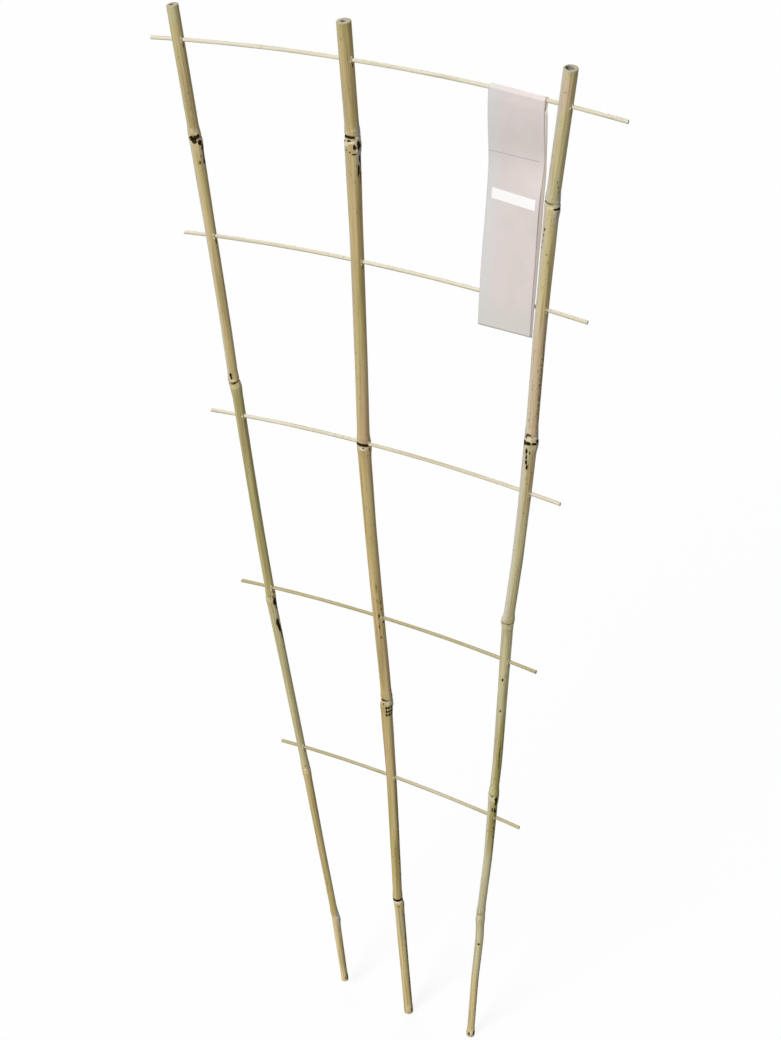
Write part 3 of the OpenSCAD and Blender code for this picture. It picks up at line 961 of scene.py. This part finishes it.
def cane_material(grain_group):
    """Dry bamboo: straw, green or pink by internode, with fibres, cream rings, scars, soot and cut ends.

    It also has painted sheen on its left side, and painted shade down its right side and in its hollows.
    """
    material, tree, shader = new_material("cane_bamboo_skin")
    place = grain_place(tree)
    grain = put(tree, "Group", {"Place": place}, node_tree=grain_group).outputs
    fibres = grain["Fibres"]
    own_warm = mask_of(tree, "warm")
    warm = plus(tree, own_warm, swing(tree, grain["Zones"], 4.5))
    base = cover(tree, STRAW, GREEN, warm, 0, -1)
    base = cover(tree, base, PINK, warm, 0, 1)
    washed = cover(tree, PALE_GREEN, PALE_STRAW, own_warm, -0.4, 0.2)
    washed = cover(tree, washed, PALE_PINK, own_warm, 0.3, 0.8)
    base = tint(tree, mask_of(tree, "pale"), base, washed)
    stripes = noise(tree, place, (0.5, 0.5, 0.012), 3.0)
    base = cover(tree, base, DARK_STRIPE, stripes, 0.5, 0.64, 0.6)
    base = cover(tree, base, LIGHT_STRIPE, stripes, 0.48, 0.36, 0.45)
    streaky = swing(tree, stripes)
    # Grey wax bloom with a painted sheen down the cane's left side
    base = cover(tree, base, WAX_BLOOM_AND_SHEEN, plus(tree, mask_of(tree, "bloom"), streaky), 0.05, 1, 0.85)
    base = cover(tree, base, WEATHERED, plus(tree, mask_of(tree, "grey"), streaky), 0.15, 0.6, 0.9)
    base = cover(tree, base, DARK_FIBRE, fibres, 0.52, 0.66, 0.5)
    base = cover(tree, base, LIGHT_FIBRE, fibres, 0.47, 0.34, 0.4)
    base = tint(tree, times(tree, grain["Specks"], 0.75), base, SPECK)
    uneven = swing(tree, noise(tree, place, (0.8, 0.8, 0.5), 5.0, 0.65), 1.9)
    milky = plus(tree, mask_of(tree, "cream"), times(tree, uneven, 0.5))
    base = cover(tree, base, CREAM, milky, 0.2, 0.8, 0.8)
    base = cover(tree, base, CHALK, milky, 0.75, 1.05, 0.9)
    base = cover(tree, base, TORN_FIBRE, plus(tree, mask_of(tree, "chip"), uneven), 0.35, 0.6)
    # Soot, and the painted shade of the long marks down a cane's right side, as a stain round a black middle
    soot_and_shade = mask_of(tree, "soot_and_shade")
    burn_and_shade = plus(tree, soot_and_shade, uneven)
    halo = times(tree, band(tree, burn_and_shade, 0.1, 0.5, 0, 0.75), band(tree, soot_and_shade, 0.03, 0.2))
    core = times(tree, band(tree, burn_and_shade, 0.45, 0.62), band(tree, soot_and_shade, 0.1, 0.3))
    base = tint(tree, halo, base, cover(tree, GREEN_STAIN_AND_SHADE, BROWN_STAIN_AND_SHADE, own_warm, -0.3, 0.1))
    base = tint(tree, core, base, cover(tree, SCORCH_AND_SHADE, SOOT_AND_SHADE_BLACK, burn_and_shade, 0.6, 1.1))
    scar = plus(tree, times(tree, mask_of(tree, "scar"), 1.3), times(tree, uneven, 0.25))
    base = cover(tree, base, SCAR_BROWN, scar, 0.3, 0.8)
    cut = mask_of(tree, "cut")
    sawn = cover(tree, SAWN_WOOD, SAWN_PORE, noise(tree, place, (2.4, 2.4, 0.2), 2.0), 0.52, 0.64, 0.55)
    base = tint(tree, cut, base, sawn)
    # Painted shade in the hollows: grey at the mouth and dark deeper in
    hollow = mask_of(tree, "hollow")
    base = cover(tree, base, HOLLOW_MOUTH_SHADE, hollow, 0, 0.5)
    base = cover(tree, base, HOLLOW_DEEP_SHADE, hollow, 0.6, 0.95)
    tree.links.new(base, shader.inputs["Base Color"])
    dull = times(tree, sums(tree, "MAXIMUM", core, cut), 0.3)
    tree.links.new(plus(tree, band(tree, fibres, 0.35, 0.65, 0.42, 0.55), dull), shader.inputs["Roughness"])
    shader.inputs["Specular IOR Level"].default_value = 0.06
    emboss(tree, shader, grain["Relief"], 0.45, 0.0003)
    return material


# Colours of a rung: olive and cream, its skin side with the painted shade under the rung, its fibres and
# specks, and its cut ends
RUNG_OLIVE = colour(176, 166, 122)
RUNG_CREAM = colour(222, 214, 192)
RUNG_SKIN_AND_SHADE = colour(166, 156, 122)
RUNG_DARK_FIBRE = colour(158, 142, 104)
RUNG_LIGHT_FIBRE = colour(230, 225, 208)
RUNG_SPECK = colour(120, 98, 64)
RUNG_CUT = colour(128, 116, 94)


def rung_material(grain_group):
    """Split bamboo: greyish cream to olive, with long pale and dark fibres, and darker cut ends."""
    material, tree, shader = new_material("rung_bamboo_split")
    grain = put(tree, "Group", {"Place": grain_place(tree)}, node_tree=grain_group).outputs
    fibres = grain["Fibres"]
    pale = plus(tree, mask_of(tree, "pale"), swing(tree, grain["Zones"], 2.5))
    base = cover(tree, RUNG_OLIVE, RUNG_CREAM, pale, -1, 1)
    # The darker skin side, turned mostly to the underside, is also painted shade
    skin = plus(tree, mask_of(tree, "skin"), swing(tree, grain["Zones"]))
    base = cover(tree, base, RUNG_SKIN_AND_SHADE, skin, 0.15, 0.9, 0.7)
    base = cover(tree, base, RUNG_DARK_FIBRE, fibres, 0.52, 0.66, 0.5)
    base = cover(tree, base, RUNG_LIGHT_FIBRE, fibres, 0.47, 0.34, 0.45)
    base = tint(tree, times(tree, grain["Specks"], 0.5), base, RUNG_SPECK)
    base = tint(tree, mask_of(tree, "cut"), base, RUNG_CUT)
    tree.links.new(base, shader.inputs["Base Color"])
    tree.links.new(band(tree, fibres, 0.35, 0.65, 0.52, 0.7), shader.inputs["Roughness"])
    shader.inputs["Specular IOR Level"].default_value = 0.25
    emboss(tree, shader, grain["Relief"], 0.5, 0.0003)
    return material


# Colours of the card: its cloudy face, greyer at the left with a painted reflection, greyer at the foot, its
# fibres, its inner side near the fold and with painted shadow lower down, the blank panel, the rule, the
# paler fold, and a painted glow inside the fold
CARD = colour(216, 206, 202)
CARD_CLOUD = colour(221, 210, 206)
CARD_LEFT_REFLECTION = colour(215, 212, 210)
CARD_FOOT = colour(210, 207, 199)
CARD_FIBRE = colour(200, 192, 190)
CARD_INNER = colour(215, 206, 197)
CARD_INNER_SHADOW = colour(190, 179, 172)
PANEL_WHITE = colour(250, 249, 247)
RULE_GREY = colour(120, 112, 112)
FOLD_PALER = colour(238, 232, 228)
NO_LIGHT = colour(0, 0, 0)
FOLD_PAINTED_GLOW = colour(236, 226, 214)
# Places on the card: the lowest and highest value across it, or along it from the fold with the front leaf
# under 0, and how soft the edges are
PANEL_ACROSS = (-15.5, 17, 0.2)
PANEL_RUN = (-80.5, -73, 0.2)
RULE_ACROSS = (-19, 16, 0.2)
RULE_RUN = (-47.6, -47.2, 0.15)
FOLD_RUN = (-1.2, 1.2, 1.0)
LIT_RUN = (0, 9, 2)


def tag_material():
    """Coated card in a warm pale grey, with paper fibre, a thin rule and a blank white panel on its face.

    It also has a painted reflection at its left, painted shadow on its inner side and a painted glow in the
    fold.
    """
    material, tree, shader = new_material("hang_tag_card")
    place = grain_place(tree)
    parts = put(tree, "SeparateXYZ", {0: place})
    across = parts.outputs["X"]
    run = parts.outputs["Y"]
    fibre = noise(tree, place, (1.5, 0.6, 1), 4.0, 0.6)
    cloud = noise(tree, place, (0.06, 0.04, 1), 2.0)
    base = cover(tree, CARD, CARD_CLOUD, cloud, 0.3, 0.7)
    # Painted reflection: the card greyer towards its left edge
    base = cover(tree, base, CARD_LEFT_REFLECTION, across, -7, -15, 0.8)
    base = cover(tree, base, CARD_FOOT, run, -145, -165, 0.6)
    base = cover(tree, base, CARD_FIBRE, fibre, 0.55, 0.75, 0.25)

    def inside(value, low, high, soft):
        past_low = band(tree, value, low - soft, low + soft)
        return times(tree, past_low, band(tree, value, high + soft, high - soft))

    outer = mask_of(tree, "face")
    face = band(tree, outer, 0.4, 0.6)
    # The inner side, darker lower down with painted shadow where the front leaf and the cane shade it
    base = tint(tree, face, cover(tree, CARD_INNER, CARD_INNER_SHADOW, run, 46, 58), base)
    panel = times(tree, inside(across, *PANEL_ACROSS), inside(run, *PANEL_RUN))
    rule = times(tree, inside(across, *RULE_ACROSS), inside(run, *RULE_RUN))
    base = tint(tree, times(tree, panel, face), base, PANEL_WHITE)
    base = tint(tree, times(tree, times(tree, rule, face), 0.6), base, RULE_GREY)
    # The card paler along its fold
    base = tint(tree, times(tree, inside(run, *FOLD_RUN), 0.5), base, FOLD_PALER)
    tree.links.new(base, shader.inputs["Base Color"])
    # Painted light: a glow on the inner side near the fold, though the card gives no light
    lit = times(tree, inside(run, *LIT_RUN), band(tree, outer, 0.6, 0.4))
    tree.links.new(tint(tree, lit, NO_LIGHT, FOLD_PAINTED_GLOW), shader.inputs["Emission Color"])
    shader.inputs["Emission Strength"].default_value = 0.32
    tree.links.new(band(tree, fibre, 0.3, 0.7, 0.42, 0.55), shader.inputs["Roughness"])
    emboss(tree, shader, fibre, 0.12, 0.0001)
    return material


def dress(piece, material, body, node):
    """Gives a piece its material and its body, and hides the solid that it stands for."""
    piece.data.materials.append(material)
    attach(piece, body)
    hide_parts(node)


def seen_ray(tree):
    """1 for what the camera, a mirror or clear glass sees, and 0 for light that falls on the object."""
    path = put(tree, "LightPath")
    seen = sums(tree, "MAXIMUM", path.outputs["Is Camera Ray"], path.outputs["Is Glossy Ray"])
    return sums(tree, "MAXIMUM", seen, path.outputs["Is Transmission Ray"])


def add_floor():
    """A wide pale floor: mostly plain white to the camera, with a lit share that keeps the shadow."""
    mesh = bpy.data.meshes.new("studio_floor")
    level = float(cad_box[0][2]) - FLOOR_GAP
    corners = [(x * FLOOR_HALF, y * FLOOR_HALF, level) for x, y in ((-1, -1), (1, -1), (1, 1), (-1, 1))]
    mesh.from_pydata(corners, [], [(0, 1, 2, 3)])
    floor = add_object("studio_floor", mesh)
    material, tree, shader = new_material("pale_floor")
    seen = seen_ray(tree)
    tree.links.new(band(tree, seen, 0, 1, FLOOR_BOUNCE, FLOOR_SEEN), shader.inputs["Base Color"])
    shader.inputs["Roughness"].default_value = 0.9
    glow = put(tree, "Emission", {"Color": (1, 1, 1, 1), "Strength": 1.0})
    share = times(tree, seen, FLOOR_GLOW)
    both = put(tree, "MixShader", {0: share, 1: shader.outputs[0], 2: glow.outputs[0]})
    tree.links.new(both.outputs[0], tree.nodes["Material Output"].inputs["Surface"])
    mesh.materials.append(material)


def towards(azimuth, elevation):
    """The direction at an azimuth, from the front to the right, and an elevation, both in radians."""
    flat = math.cos(elevation)
    return Vector((math.sin(azimuth) * flat, -math.cos(azimuth) * flat, math.sin(elevation)))


def add_light():
    """Even light from all round, a soft key at the viewer's left and above, and a softer fill behind."""
    world = bpy.data.worlds.new("studio_world")
    bpy.context.scene.world = world
    world.use_nodes = True
    tree = world.node_tree
    back = tree.nodes["Background"]
    back.inputs["Color"].default_value = (1, 1, 1, 1)
    tree.links.new(band(tree, seen_ray(tree), 0, 1, AMBIENT, 1.0), back.inputs["Strength"])
    for lamp in LAMPS:
        light = bpy.data.lights.new(lamp.name, "SUN")
        light.energy = lamp.strength
        light.angle = math.radians(lamp.softness)
        seat = add_object(lamp.name, light)
        way = towards(math.radians(lamp.azimuth), math.radians(lamp.elevation))
        seat.matrix_world = way.to_track_quat("Z", "Y").to_matrix().to_4x4()


def add_camera():
    """The photograph's camera: it looks at the target from an azimuth and an elevation, rolled a little."""
    back = towards(VIEW_AZIMUTH, VIEW_ELEVATION)
    right = Vector((math.cos(VIEW_AZIMUTH), math.sin(VIEW_AZIMUTH), 0))
    up = back.cross(right)
    rolled_right = math.cos(VIEW_ROLL) * right + math.sin(VIEW_ROLL) * up
    rolled_up = math.cos(VIEW_ROLL) * up - math.sin(VIEW_ROLL) * right
    camera = bpy.data.cameras.new("photo_camera")
    camera.sensor_width = SENSOR
    camera.lens = FOCAL_PIXELS * SENSOR / PHOTO_HEIGHT
    camera.clip_end = 50
    seat = add_object("photo_camera", camera)
    turn = Matrix((rolled_right, rolled_up, back)).transposed().to_4x4()
    seat.matrix_world = Matrix.Translation((Vector(VIEW_TARGET) + back * VIEW_DISTANCE) * MM) @ turn
    bpy.context.scene.camera = seat


grain_group = bamboo_grain_group()
cane_skin = cane_material(grain_group)
rung_skin = rung_material(grain_group)
for cane in CANES:
    dress(cane_piece(cane), cane_skin, "canes", f"cane_{cane.name}")
for number in RUNG_NUMBERS:
    dress(rung_piece(number), rung_skin, f"rung_{number}", f"rung_{number}")
dress(tag_piece(), tag_material(), "tag", "hang_tag")

add_floor()
add_light()
add_camera()
bpy.context.scene.view_settings.view_transform = "Standard"
